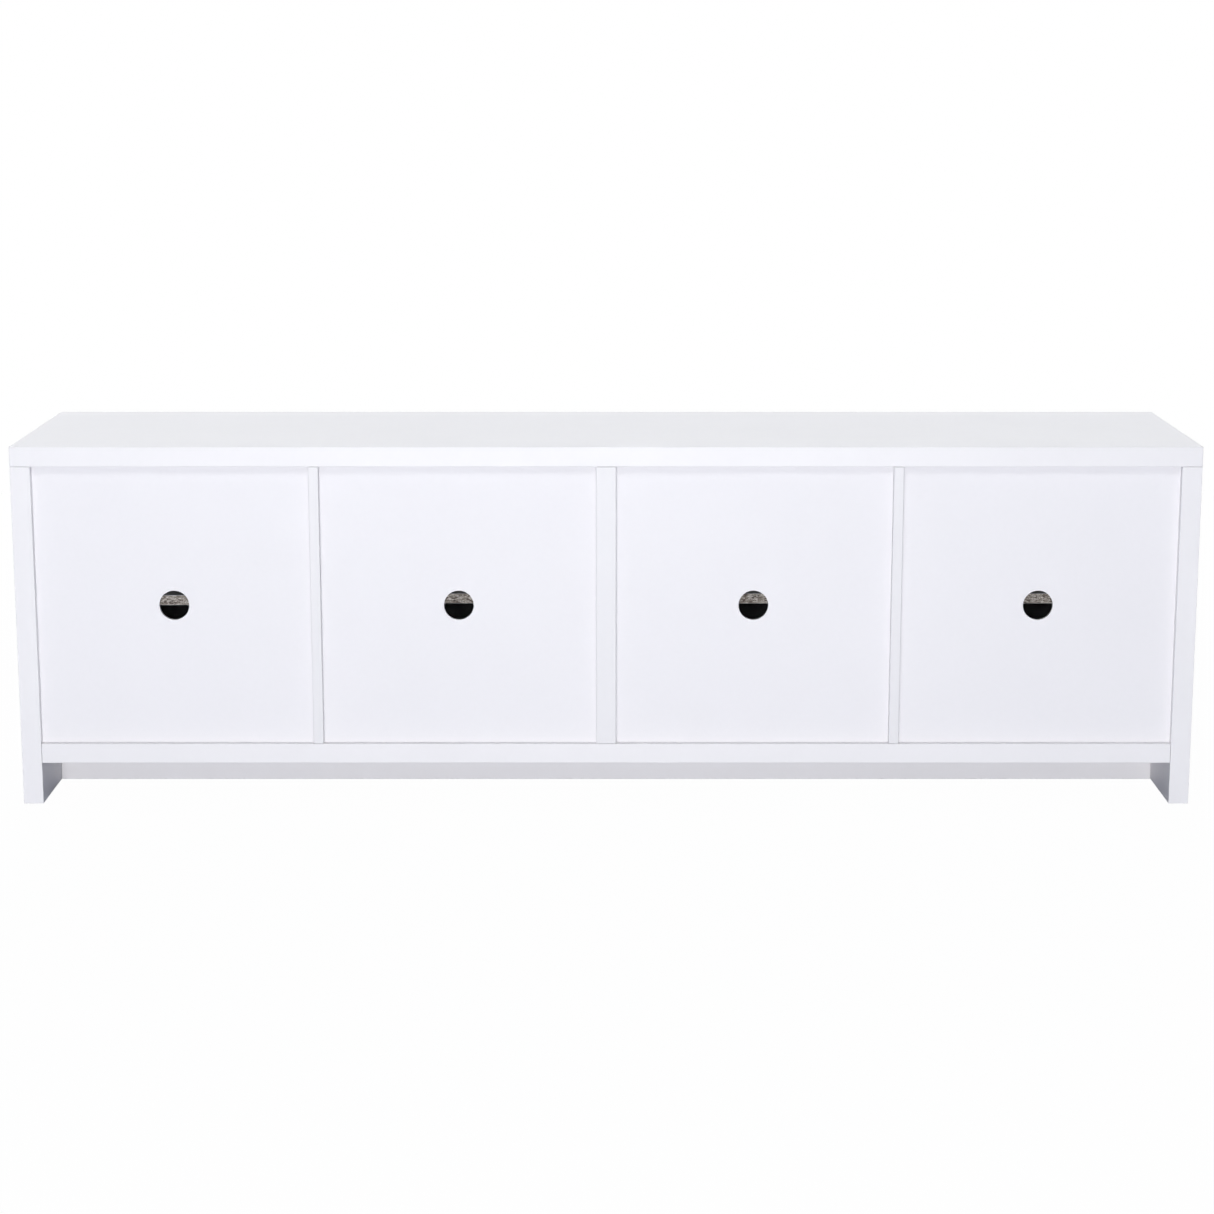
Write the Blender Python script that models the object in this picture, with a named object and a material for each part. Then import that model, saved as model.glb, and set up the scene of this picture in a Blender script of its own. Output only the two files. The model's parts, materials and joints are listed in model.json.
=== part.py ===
"""Low TV stand: a white board carcass with four bays, each closed by an inset door.

Metres, +Z up. The doors face -Y and the open rear edges of the boards face +Y. The origin is on
the floor, in the middle of the overall width and depth, handles included. Bays, doors and shelves
are numbered 1 to 4 from -X to +X.
"""
import math

import bmesh
import bpy
from mathutils import Matrix, Vector

# Carcass
WIDTH = 1.780
HEIGHT = 0.550
CARCASS_DEPTH = 0.400
THICK = 0.030  # top, bottom, side panels and centre divider
THIN = 0.015  # quarter dividers, shelves and support rail
FLOOR_GAP = 0.064  # underside of the bottom panel above the floor
RAIL_SETBACK = 0.143  # rear edges of the boards to the support rail's rear face
EDGE_ROUND = 0.0008
FIT_GAP = 0.0003  # between pieces that touch
TOOL_PAST = 0.002  # how far a cutting shape stands out of the face that it cuts

# Back panels, held in grooves
BACK_THICK = 0.005
BACK_ROUND = 0.0004
BACK_SETBACK = 0.012  # rear edges of the boards to the back panels' rear faces
GROOVE_DEPTH = 0.005
BACK_BITE = 0.0045  # how far a back panel reaches into a groove
CABLE_HOLE_RADIUS = 0.0225

# Shelves on pins
SHELF_DEPTH = 0.325
SHELF_SIDE_GAP = 0.0015
SHELF_ROUND = 0.0005
SHELF_BACK_GAPS = (0.015, 0.015, 0.015, 0.002)  # shelf to back panel, one for each bay
PIN_HEIGHT = 0.3030  # centre line of the row of pins in use
PIN_ROW_STEP = 0.032
PIN_RADIUS = 0.0025
PIN_INSERT = 0.0065
PIN_REACH = 0.0095
PIN_COLLAR_RADIUS = 0.0040
PIN_COLLAR_END = 0.0012
PIN_CHAMFER = 0.0005
PIN_HOLE_RADIUS = 0.0028
PIN_HOLE_DEPTH = 0.007
PIN_FRONT_SETBACK = 0.081  # front edge of the carcass to the front pins
PIN_REAR_SETBACK = 0.064  # rear edge of the carcass to the rear pins

# Doors, set flush into the carcass
DOOR_THICK = 0.016
DOOR_ROUND = 0.002
DOOR_SIDE_GAP = 0.003  # at the hinged edge, and between two doors of a pair
DOOR_END_GAP = 0.002  # above and below
DIVIDER_SETBACK = 0.0182  # front edge of the carcass to that of the quarter dividers
BUMPER_RADIUS = 0.0026
BUMPER_THICK = 0.0016
BUMPER_DROP = 0.045  # door's top edge down to its bumper

# Hinges. Across is measured from the door's hinged edge, inward from its front face.
PIVOT_ACROSS = 0.0095
PIVOT_INWARD = 0.0073
HINGE_END_OFFSET = 0.080  # door's top or bottom edge to the hinge's middle
CUP_BORE_RADIUS = 0.0175
CUP_BORE_DEPTH = 0.0125
CUP_CENTRE_ACROSS = 0.0225
CUP_WALL = 0.0008
CUP_RIM_RADIUS = 0.0190
CUP_RIM_THICK = 0.0010
WING_HALF_HEIGHT = 0.028
WING_HALF_WIDTH = 0.0068
WING_SETBACK = 0.0095  # cup's middle to the wings' middles, towards the door's free edge
WING_ROUND = 0.004
WING_INSET = 0.0001  # wings stand this much inside the rim's two faces
HINGE_PIN_RADIUS = 0.0012
HINGE_PIN_HALF = 0.0094
EYE_RADIUS = 0.0023
EYE_BORE_RADIUS = 0.0015
ARM_HALF_HEIGHT = 0.0045
ARM_THICK = 0.003
ARM_CORNER_ROUND = 0.002
ARM_LEG_ACROSS = 0.0225  # middle of the leg that runs back into the bay
ARM_END_INWARD = 0.070
PLATE_INWARD = (0.040, 0.066)
PLATE_THICK = 0.002
PLATE_HALF_HEIGHT = 0.024
PLATE_WING_INWARD = (0.045, 0.061)
PLATE_ROUND = 0.004

# Handles
HANDLE_REACH = 0.028
HANDLE_LENGTH = 0.160
HANDLE_WIDTH = 0.010
HANDLE_BAR = 0.007
HANDLE_LEG = 0.009
HANDLE_OUTER_ROUND = 0.006
HANDLE_INNER_ROUND = 0.003
HANDLE_EDGE_ROUND = 0.0012
HANDLE_FROM_EDGE = 0.026  # door's free edge to the handle's middle

# Places that follow from the sizes
REAR_Y = (CARCASS_DEPTH + HANDLE_REACH) / 2
FRONT_Y = REAR_Y - CARCASS_DEPTH
INNER_X = WIDTH / 2 - THICK
FLOOR_BOARD_TOP = FLOOR_GAP + THICK
BAY_TOP = HEIGHT - THICK
BAY_WIDTH = (WIDTH - 3 * THICK - 2 * THIN) / 4
QUARTER_X = THICK / 2 + BAY_WIDTH + THIN / 2
BACK_REAR_Y = REAR_Y - BACK_SETBACK
BACK_FRONT_Y = BACK_REAR_Y - BACK_THICK
PIN_YS = (FRONT_Y + PIN_FRONT_SETBACK, REAR_Y - PIN_REAR_SETBACK)
SHELF_UNDERSIDE = PIN_HEIGHT + PIN_RADIUS + FIT_GAP
DOOR_BOTTOM = FLOOR_BOARD_TOP + DOOR_END_GAP
DOOR_TOP = BAY_TOP - DOOR_END_GAP
DOOR_WIDTH = (INNER_X - THICK / 2 - 3 * DOOR_SIDE_GAP) / 2
HINGE_HEIGHTS = {"upper": DOOR_TOP - HINGE_END_OFFSET, "lower": DOOR_BOTTOM + HINGE_END_OFFSET}

# Each bay's left and right inner faces
BAYS = (
    (-INNER_X, -QUARTER_X - THIN / 2),
    (-QUARTER_X + THIN / 2, -THICK / 2),
    (THICK / 2, QUARTER_X - THIN / 2),
    (QUARTER_X + THIN / 2, INNER_X),
)

# Each door's hinged edge, and the direction in X from there to its free edge
DOOR_EDGES = (
    (-INNER_X + DOOR_SIDE_GAP, 1),
    (-THICK / 2 - DOOR_SIDE_GAP, -1),
    (THICK / 2 + DOOR_SIDE_GAP, 1),
    (INNER_X - DOOR_SIDE_GAP, -1),
)


# ---------------------------------------------------------------- materials

def make_finish(name, colour, roughness, metallic=0.0):
    finish = bpy.data.materials.new(name)
    finish.use_nodes = True
    shader = finish.node_tree.nodes["Principled BSDF"]
    shader.inputs["Base Color"].default_value = (*colour, 1.0)
    shader.inputs["Roughness"].default_value = roughness
    shader.inputs["Metallic"].default_value = metallic
    return finish


def make_finishes():
    return {
        "board": make_finish("white_board", (0.84, 0.84, 0.87), 0.38),
        "door": make_finish("white_door", (0.84, 0.84, 0.87), 0.32),
        "back": make_finish("white_back_panel", (0.82, 0.82, 0.86), 0.45),
        "shelf": make_finish("white_shelf", (0.80, 0.80, 0.82), 0.42),
        "nickel": make_finish("satin_nickel", (0.62, 0.60, 0.57), 0.32, 1.0),
        "steel": make_finish("plated_steel", (0.66, 0.66, 0.67), 0.25, 1.0),
        "silicone": make_finish("clear_silicone", (0.75, 0.76, 0.76), 0.30),
    }


# ---------------------------------------------------------------- mesh helpers

def mesh_from(bm, name):
    bmesh.ops.recalc_face_normals(bm, faces=bm.faces[:])
    mesh = bpy.data.meshes.new(name)
    bm.to_mesh(mesh)
    bm.free()
    mesh.shade_smooth()
    mesh.set_sharp_from_angle(angle=math.radians(32))
    return mesh


def add_box(bm, low, high):
    """A plain box between two corners, returned as its vertices."""
    low, high = Vector(low), Vector(high)
    corners = bmesh.ops.create_cube(bm, size=1.0)["verts"]
    for vert in corners:
        vert.co = Vector((low[i] + (vert.co[i] + 0.5) * (high[i] - low[i]) for i in range(3)))
    return corners


def add_lathe(bm, profile, segments, turn):
    """Turn (radius, along) points, which start and end on the axis, about local Z."""
    rings = []
    for radius, along in profile:
        if radius == 0:
            rings.append([bm.verts.new(turn @ Vector((0, 0, along)))])
            continue
        ring = []
        for step in range(segments):
            angle = 2 * math.pi * step / segments
            point = Vector((radius * math.cos(angle), radius * math.sin(angle), along))
            ring.append(bm.verts.new(turn @ point))
        rings.append(ring)
    for lower, upper in zip(rings, rings[1:]):
        for step in range(segments):
            after = (step + 1) % segments
            corners = [lower[step % len(lower)], lower[after % len(lower)],
                       upper[after % len(upper)], upper[step % len(upper)]]
            bm.faces.new(dict.fromkeys(corners))


def add_cylinder(bm, radius, start, end, turn, segments):
    add_lathe(bm, [(0, start), (radius, start), (radius, end), (0, end)], segments, turn)


def along_x(x, y, z):
    """Local Z lies along +X, from the given point."""
    return Matrix.Translation((x, y, z)) @ Matrix.Rotation(math.pi / 2, 4, "Y")


def along_y(x, y, z):
    """Local Z lies along +Y, from the given point."""
    return Matrix.Translation((x, y, z)) @ Matrix.Rotation(-math.pi / 2, 4, "X")


def arc(centre, radius, start, end, steps):
    """Points of an arc, with the angles in degrees."""
    points = []
    for step in range(steps + 1):
        angle = math.radians(start + (end - start) * step / steps)
        points.append((centre[0] + radius * math.cos(angle), centre[1] + radius * math.sin(angle)))
    return points


def add_prism(bm, outline, low, high, place):
    """Extrude an outline of (a, b) points from low to high; place maps (a, b, height) to a point."""
    face = bm.faces.new([bm.verts.new(place(a, b, low)) for a, b in outline])
    grown = bmesh.ops.extrude_face_region(bm, geom=[face])["geom"]
    shift = Vector(place(0, 0, high)) - Vector(place(0, 0, low))
    bmesh.ops.translate(bm, vec=shift, verts=[item for item in grown if isinstance(item, bmesh.types.BMVert)])


def place_object(name, mesh, finish, location=(0, 0, 0), turn=0.0, turn_axis="Z", parent=None):
    """Put a mesh in the scene; the location is in world coordinates, also under a parent."""
    mesh.materials.clear()
    mesh.materials.append(finish)
    piece = bpy.data.objects.new(name, mesh)
    bpy.context.scene.collection.objects.link(piece)
    world = Matrix.Translation(location) @ Matrix.Rotation(turn, 4, turn_axis)
    if parent is not None:
        piece.parent = parent
        world = Matrix.Translation(parent.location).inverted() @ world
    piece.location = world.to_translation()
    piece.rotation_euler = world.to_euler()
    return piece


def add_boolean(piece, operation, tool_bm, label):
    """Cut or join a piece with a hidden tool, given in the piece's own coordinates."""
    tool = bpy.data.objects.new(f"{piece.name}_{label}", mesh_from(tool_bm, f"{piece.name}_{label}"))
    bpy.context.scene.collection.objects.link(tool)
    tool.parent = piece
    tool.hide_render = True
    tool.display_type = "WIRE"
    modifier = piece.modifiers.new(label, "BOOLEAN")
    modifier.operation = operation
    modifier.solver = "EXACT"
    modifier.object = tool


def bake_mesh(piece, name):
    """The finished mesh of a piece with its modifiers, for use by several copies."""
    bpy.context.view_layer.update()
    graph = bpy.context.evaluated_depsgraph_get()
    mesh = bpy.data.meshes.new_from_object(piece.evaluated_get(graph))
    mesh.name = name
    for child in list(piece.children):
        bpy.data.objects.remove(child)
    bpy.data.objects.remove(piece)
    return mesh


# ---------------------------------------------------------------- boards

def make_board(name, low, high, finish, round_by=EDGE_ROUND, round_steps=2):
    """A board with slightly rounded edges, its origin in its middle."""
    low, high = Vector(low), Vector(high)
    middle = (low + high) / 2
    bm = bmesh.new()
    add_box(bm, low - middle, high - middle)
    bmesh.ops.bevel(bm, geom=bm.edges[:], offset=round_by, segments=round_steps, profile=0.5, affect="EDGES")
    return place_object(name, mesh_from(bm, name), finish, middle)


def add_tool_box(bm, board, low, high):
    add_box(bm, Vector(low) - board.location, Vector(high) - board.location)


def add_groove_beside(bm, board, face_x, into, low_z):
    """The upright groove for a back panel, in the face at face_x, cut towards into (+1 or -1 in X)."""
    xs = sorted((face_x - into * TOOL_PAST, face_x + into * GROOVE_DEPTH))
    add_tool_box(bm, board, (xs[0], BACK_FRONT_Y - FIT_GAP, low_z),
                 (xs[1], BACK_REAR_Y + FIT_GAP, BAY_TOP + TOOL_PAST))


def add_pin_holes(bm, board, face_x, into):
    """Two columns of blind holes for shelf pins, three holes high."""
    for y in PIN_YS:
        for row in (-1, 0, 1):
            start = Vector((face_x - into * TOOL_PAST, y, PIN_HEIGHT + row * PIN_ROW_STEP)) - board.location
            length = PIN_HOLE_DEPTH + TOOL_PAST
            turn = along_x(*start) @ Matrix.Rotation(0 if into > 0 else math.pi, 4, "X")
            add_cylinder(bm, PIN_HOLE_RADIUS, 0, length, turn, 10)


def make_carcass(finish):
    top = make_board("top_panel", (-WIDTH / 2, FRONT_Y, BAY_TOP), (WIDTH / 2, REAR_Y, HEIGHT), finish)
    groove = bmesh.new()
    add_tool_box(groove, top, (-INNER_X - GROOVE_DEPTH, BACK_FRONT_Y - FIT_GAP, BAY_TOP - TOOL_PAST),
                 (INNER_X + GROOVE_DEPTH, BACK_REAR_Y + FIT_GAP, BAY_TOP + GROOVE_DEPTH))
    add_boolean(top, "DIFFERENCE", groove, "groove")

    bottom = make_board("bottom_panel", (-INNER_X + FIT_GAP, FRONT_Y, FLOOR_GAP),
                        (INNER_X - FIT_GAP, REAR_Y, FLOOR_BOARD_TOP), finish)
    groove = bmesh.new()
    add_tool_box(groove, bottom, (-WIDTH / 2, BACK_FRONT_Y - FIT_GAP, FLOOR_BOARD_TOP - GROOVE_DEPTH),
                 (WIDTH / 2, BACK_REAR_Y + FIT_GAP, FLOOR_BOARD_TOP + TOOL_PAST))
    add_boolean(bottom, "DIFFERENCE", groove, "groove")

    for name, side in (("left_side_panel", -1), ("right_side_panel", 1)):
        xs = sorted((side * INNER_X, side * WIDTH / 2))
        panel = make_board(name, (xs[0], FRONT_Y, 0), (xs[1], REAR_Y, BAY_TOP - FIT_GAP), finish)
        cuts = bmesh.new()
        add_groove_beside(cuts, panel, side * INNER_X, side, FLOOR_BOARD_TOP - GROOVE_DEPTH)
        add_pin_holes(cuts, panel, side * INNER_X, side)
        add_boolean(panel, "DIFFERENCE", cuts, "cuts")

    dividers = (
        ("left_divider", -QUARTER_X, THIN, FRONT_Y + DIVIDER_SETBACK),
        ("centre_divider", 0, THICK, FRONT_Y),
        ("right_divider", QUARTER_X, THIN, FRONT_Y + DIVIDER_SETBACK),
    )
    for name, x, thickness, front in dividers:
        divider = make_board(name, (x - thickness / 2, front, FLOOR_BOARD_TOP + FIT_GAP),
                             (x + thickness / 2, REAR_Y, BAY_TOP - FIT_GAP), finish)
        cuts = bmesh.new()
        for into in (1, -1):
            face_x = x - into * thickness / 2
            add_groove_beside(cuts, divider, face_x, into, FLOOR_BOARD_TOP - TOOL_PAST)
            add_pin_holes(cuts, divider, face_x, into)
        add_boolean(divider, "DIFFERENCE", cuts, "cuts")

    rail_rear = REAR_Y - RAIL_SETBACK
    make_board("plinth_rail", (-INNER_X + FIT_GAP, rail_rear - THIN, 0),
               (INNER_X - FIT_GAP, rail_rear, FLOOR_GAP - FIT_GAP), finish)


def make_back_panels(finish):
    for number, (left, right) in enumerate(BAYS, 1):
        panel = make_board(f"back_panel_{number}",
                           (left - BACK_BITE, BACK_FRONT_Y, FLOOR_BOARD_TOP - BACK_BITE),
                           (right + BACK_BITE, BACK_REAR_Y, BAY_TOP + BACK_BITE), finish, BACK_ROUND, 1)
        hole = bmesh.new()
        add_cylinder(hole, CABLE_HOLE_RADIUS, -BACK_THICK, BACK_THICK, along_y(0, 0, 0), 40)
        add_boolean(panel, "DIFFERENCE", hole, "cable_hole")


def make_shelves(finish):
    for number, ((left, right), back_gap) in enumerate(zip(BAYS, SHELF_BACK_GAPS), 1):
        rear = BACK_FRONT_Y - back_gap
        make_board(f"shelf_{number}", (left + SHELF_SIDE_GAP, rear - SHELF_DEPTH, SHELF_UNDERSIDE),
                   (right - SHELF_SIDE_GAP, rear, SHELF_UNDERSIDE + THIN), finish, SHELF_ROUND, 1)


# ---------------------------------------------------------------- shelf pins and bumpers

def make_shelf_pins(finish):
    """Each pin is a plain shaft with a collar, its origin where it leaves the board's face."""
    bm = bmesh.new()
    add_lathe(bm, [
        (0, -PIN_INSERT), (PIN_RADIUS, -PIN_INSERT), (PIN_RADIUS, FIT_GAP),
        (PIN_COLLAR_RADIUS, FIT_GAP), (PIN_COLLAR_RADIUS, PIN_COLLAR_END), (PIN_RADIUS, PIN_COLLAR_END),
        (PIN_RADIUS, PIN_REACH - PIN_CHAMFER), (PIN_RADIUS - PIN_CHAMFER, PIN_REACH), (0, PIN_REACH),
    ], 12, along_x(0, 0, 0))
    mesh = mesh_from(bm, "shelf_pin")
    for number, (left, right) in enumerate(BAYS, 1):
        corners = [(left, 0.0, PIN_YS[0]), (left, 0.0, PIN_YS[1]),
                   (right, math.pi, PIN_YS[0]), (right, math.pi, PIN_YS[1])]
        for letter, (x, turn, y) in zip("abcd", corners):
            place_object(f"shelf_pin_{number}_{letter}", mesh, finish, (x, y, PIN_HEIGHT), turn)


def make_bumpers(finish):
    """A flat dome behind each door's free edge, on the quarter divider's front edge."""
    bm = bmesh.new()
    add_lathe(bm, [
        (0, 0), (BUMPER_RADIUS, 0), (BUMPER_RADIUS, BUMPER_THICK * 0.5),
        (BUMPER_RADIUS * 0.8, BUMPER_THICK * 0.85), (0, BUMPER_THICK),
    ], 12, Matrix.Rotation(math.pi / 2, 4, "X"))
    mesh = mesh_from(bm, "door_bumper")
    base_y = FRONT_Y + DIVIDER_SETBACK - FIT_GAP
    from_middle = (THIN / 2 + DOOR_SIDE_GAP / 2) / 2
    for number, (_, side) in enumerate(DOOR_EDGES, 1):
        divider_x = QUARTER_X * (-1 if number < 3 else 1)
        place_object(f"door_bumper_{number}", mesh, finish,
                     (divider_x - side * from_middle, base_y, DOOR_TOP - BUMPER_DROP))


# ---------------------------------------------------------------- hinges

def make_cup_mesh():
    """Steel cup, flange and pivot pin. The origin is on the pivot; +X runs to the door's free edge."""
    bore_floor = DOOR_THICK - CUP_BORE_DEPTH + FIT_GAP - PIVOT_INWARD
    rear_face = DOOR_THICK - PIVOT_INWARD + FIT_GAP
    outer = CUP_BORE_RADIUS - FIT_GAP
    inner = outer - CUP_WALL
    rim_top = rear_face + CUP_RIM_THICK
    centre_x = CUP_CENTRE_ACROSS - PIVOT_ACROSS
    bm = bmesh.new()
    add_lathe(bm, [
        (0, bore_floor), (outer, bore_floor), (outer, rear_face), (CUP_RIM_RADIUS, rear_face),
        (CUP_RIM_RADIUS, rim_top), (inner, rim_top), (inner, bore_floor + CUP_WALL),
        (0, bore_floor + CUP_WALL),
    ], 24, along_y(centre_x, 0, 0))
    cup = place_object("hinge_cup_master", mesh_from(bm, "hinge_cup_shell"), bpy.data.materials[0])
    pin = bmesh.new()
    add_cylinder(pin, HINGE_PIN_RADIUS, -HINGE_PIN_HALF, HINGE_PIN_HALF, Matrix.Identity(4), 10)
    add_boolean(cup, "UNION", pin, "pin")
    join_radius = (inner + CUP_RIM_RADIUS) / 2
    tip = WING_HALF_HEIGHT - WING_ROUND
    across_low, across_high = WING_SETBACK - WING_HALF_WIDTH, WING_SETBACK + WING_HALF_WIDTH
    outline = arc((0, 0), join_radius, 80, 35, 4)
    outline += arc((across_high - WING_ROUND, tip), WING_ROUND, 0, 90, 3)
    outline += arc((across_low + WING_ROUND, tip), WING_ROUND, 90, 180, 3)
    for end, label in ((1, "wing_up"), (-1, "wing_down")):
        wing = bmesh.new()
        add_prism(wing, outline, rear_face + WING_INSET, rim_top - WING_INSET,
                  lambda a, b, height, end=end: (centre_x + a, height, end * b))
        add_boolean(cup, "UNION", wing, label)
    return bake_mesh(cup, "hinge_cup")


def make_arm_mesh():
    """Cranked arm and mounting plate. The origin is on the pivot; +X runs into the bay."""
    half = ARM_THICK / 2
    leg = ARM_LEG_ACROSS - PIVOT_ACROSS
    wall = -DOOR_SIDE_GAP - PIVOT_ACROSS + FIT_GAP
    end = ARM_END_INWARD - PIVOT_INWARD
    block = [inward - PIVOT_INWARD for inward in PLATE_INWARD]
    meet = math.degrees(math.asin(half / EYE_RADIUS))
    outline = arc((0, 0), EYE_RADIUS, 360 - meet, meet, 10)
    outline += [(leg - half, half), (leg - half, block[0]), (wall, block[0]), (wall, block[1]),
                (leg - half, block[1]), (leg - half, end - half)]
    outline += arc((leg, end - half), half, 180, 0, 4)
    corner = (leg + half - ARM_CORNER_ROUND, ARM_CORNER_ROUND - half)
    outline += arc(corner, ARM_CORNER_ROUND, 0, -90, 3)

    bm = bmesh.new()
    add_prism(bm, outline, -ARM_HALF_HEIGHT, ARM_HALF_HEIGHT, lambda a, b, height: (a, b, height))
    arm = place_object("hinge_arm_master", mesh_from(bm, "hinge_arm_crank"), bpy.data.materials[0])
    plate = bmesh.new()
    add_box(plate, (wall, PLATE_WING_INWARD[0] - PIVOT_INWARD, -PLATE_HALF_HEIGHT),
            (wall + PLATE_THICK, PLATE_WING_INWARD[1] - PIVOT_INWARD, PLATE_HALF_HEIGHT))
    edges = [edge for edge in plate.edges
             if abs(edge.verts[0].co.x - edge.verts[1].co.x) > PLATE_THICK / 2]
    bmesh.ops.bevel(plate, geom=edges, offset=PLATE_ROUND, segments=3, profile=0.5, affect="EDGES")
    add_boolean(arm, "UNION", plate, "plate")
    bore = bmesh.new()
    add_cylinder(bore, EYE_BORE_RADIUS, -2 * ARM_HALF_HEIGHT, 2 * ARM_HALF_HEIGHT, Matrix.Identity(4), 12)
    add_boolean(arm, "DIFFERENCE", bore, "pin_bore")
    return bake_mesh(arm, "hinge_arm")


# ---------------------------------------------------------------- handles and doors

def make_handle_mesh():
    """D-shaped pull. The origin is on the door's front face, behind the handle's middle."""
    half = HANDLE_LENGTH / 2
    out, inner = HANDLE_REACH, HANDLE_REACH - HANDLE_BAR
    outer_r, inner_r = HANDLE_OUTER_ROUND, HANDLE_INNER_ROUND
    outline = [(FIT_GAP, half)] + arc((out - outer_r, half - outer_r), outer_r, 90, 0, 5)
    outline += arc((out - outer_r, -half + outer_r), outer_r, 0, -90, 5) + [(FIT_GAP, -half)]
    outline += [(FIT_GAP, -half + HANDLE_LEG)]
    outline += arc((inner - inner_r, -half + HANDLE_LEG + inner_r), inner_r, -90, 0, 3)
    outline += arc((inner - inner_r, half - HANDLE_LEG - inner_r), inner_r, 0, 90, 3)
    outline += [(FIT_GAP, half - HANDLE_LEG)]
    bm = bmesh.new()
    add_prism(bm, outline, -HANDLE_WIDTH / 2, HANDLE_WIDTH / 2, lambda a, b, height: (height, -a, b))
    rims = [edge for edge in bm.edges if abs(edge.verts[0].co.x - edge.verts[1].co.x) < HANDLE_WIDTH / 2]
    bmesh.ops.bevel(bm, geom=rims, offset=HANDLE_EDGE_ROUND, segments=2, profile=0.5, affect="EDGES")
    return mesh_from(bm, "handle")


def make_door(number, edge_x, side, finishes, handle_mesh, cup_mesh):
    """A slab door with its origin on the hinge axis, carrying its cups and its handle."""
    pivot = Vector((edge_x + side * PIVOT_ACROSS, FRONT_Y + PIVOT_INWARD, 0))
    xs = sorted((-side * PIVOT_ACROSS, side * (DOOR_WIDTH - PIVOT_ACROSS)))
    bm = bmesh.new()
    add_box(bm, (xs[0], -PIVOT_INWARD, DOOR_BOTTOM), (xs[1], DOOR_THICK - PIVOT_INWARD, DOOR_TOP))
    bmesh.ops.bevel(bm, geom=bm.edges[:], offset=DOOR_ROUND, segments=2, profile=0.5, affect="EDGES")
    door = place_object(f"door_{number}", mesh_from(bm, f"door_{number}"), finishes["door"], pivot)

    bores = bmesh.new()
    cup_x = side * (CUP_CENTRE_ACROSS - PIVOT_ACROSS)
    rear = DOOR_THICK - PIVOT_INWARD
    for height in HINGE_HEIGHTS.values():
        add_cylinder(bores, CUP_BORE_RADIUS, rear - CUP_BORE_DEPTH, rear + TOOL_PAST,
                     along_y(cup_x, 0, height), 32)
    add_boolean(door, "DIFFERENCE", bores, "cup_bores")

    for end, height in HINGE_HEIGHTS.items():
        place_object(f"hinge_cup_{number}_{end}", cup_mesh, finishes["steel"], (pivot.x, pivot.y, height),
                     0.0 if side > 0 else math.pi, "Y", door)
    handle_x = edge_x + side * (DOOR_WIDTH - HANDLE_FROM_EDGE)
    place_object(f"handle_{number}", handle_mesh, finishes["nickel"],
                 (handle_x, FRONT_Y, (DOOR_BOTTOM + DOOR_TOP) / 2), parent=door)


def make_doors(finishes):
    handle_mesh, cup_mesh, arm_mesh = make_handle_mesh(), make_cup_mesh(), make_arm_mesh()
    for number, (edge_x, side) in enumerate(DOOR_EDGES, 1):
        make_door(number, edge_x, side, finishes, handle_mesh, cup_mesh)
        for end, height in HINGE_HEIGHTS.items():
            place_object(f"hinge_arm_{number}_{end}", arm_mesh, finishes["steel"],
                         (edge_x + side * PIVOT_ACROSS, FRONT_Y + PIVOT_INWARD, height),
                         0.0 if side > 0 else math.pi, "Y")


for leftover in list(bpy.data.objects):
    bpy.data.objects.remove(leftover)
finish_set = make_finishes()
make_carcass(finish_set["board"])
make_back_panels(finish_set["back"])
make_shelves(finish_set["shelf"])
make_shelf_pins(finish_set["steel"])
make_bumpers(finish_set["silicone"])
make_doors(finish_set)
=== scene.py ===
import json
import math

import bmesh
import bpy
from mathutils import Matrix, Vector


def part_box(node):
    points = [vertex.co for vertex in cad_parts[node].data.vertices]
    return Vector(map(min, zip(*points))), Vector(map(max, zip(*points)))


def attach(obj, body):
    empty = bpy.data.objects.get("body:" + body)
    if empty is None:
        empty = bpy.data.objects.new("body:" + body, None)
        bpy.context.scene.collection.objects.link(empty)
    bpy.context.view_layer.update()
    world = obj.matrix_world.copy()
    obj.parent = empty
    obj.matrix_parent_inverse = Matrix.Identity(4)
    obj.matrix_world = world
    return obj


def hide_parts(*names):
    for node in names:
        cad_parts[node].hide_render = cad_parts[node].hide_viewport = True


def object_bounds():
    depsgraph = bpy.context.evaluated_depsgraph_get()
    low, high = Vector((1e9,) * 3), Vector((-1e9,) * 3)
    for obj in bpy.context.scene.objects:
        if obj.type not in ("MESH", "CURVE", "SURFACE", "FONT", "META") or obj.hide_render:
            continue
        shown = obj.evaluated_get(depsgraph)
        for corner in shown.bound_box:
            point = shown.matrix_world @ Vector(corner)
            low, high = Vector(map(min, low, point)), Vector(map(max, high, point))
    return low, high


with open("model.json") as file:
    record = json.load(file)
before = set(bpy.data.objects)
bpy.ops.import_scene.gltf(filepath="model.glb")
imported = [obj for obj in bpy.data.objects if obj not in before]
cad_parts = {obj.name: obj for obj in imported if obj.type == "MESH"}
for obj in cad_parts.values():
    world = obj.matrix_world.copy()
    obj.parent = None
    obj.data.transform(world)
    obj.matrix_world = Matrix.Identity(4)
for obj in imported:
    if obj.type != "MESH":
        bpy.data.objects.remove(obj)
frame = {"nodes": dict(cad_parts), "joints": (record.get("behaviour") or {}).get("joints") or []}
cad_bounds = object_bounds()

# ------------------------------------------------------------------ boards of the carcass
# Chipboard faced with white satin melamine: 30 mm for the top, bottom, sides and centre divider, and
# 15 mm for the quarter dividers and the support rail. A band is glued along each edge that shows, and
# the grooves and drilled holes bare the pressed chips of the core.

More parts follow.
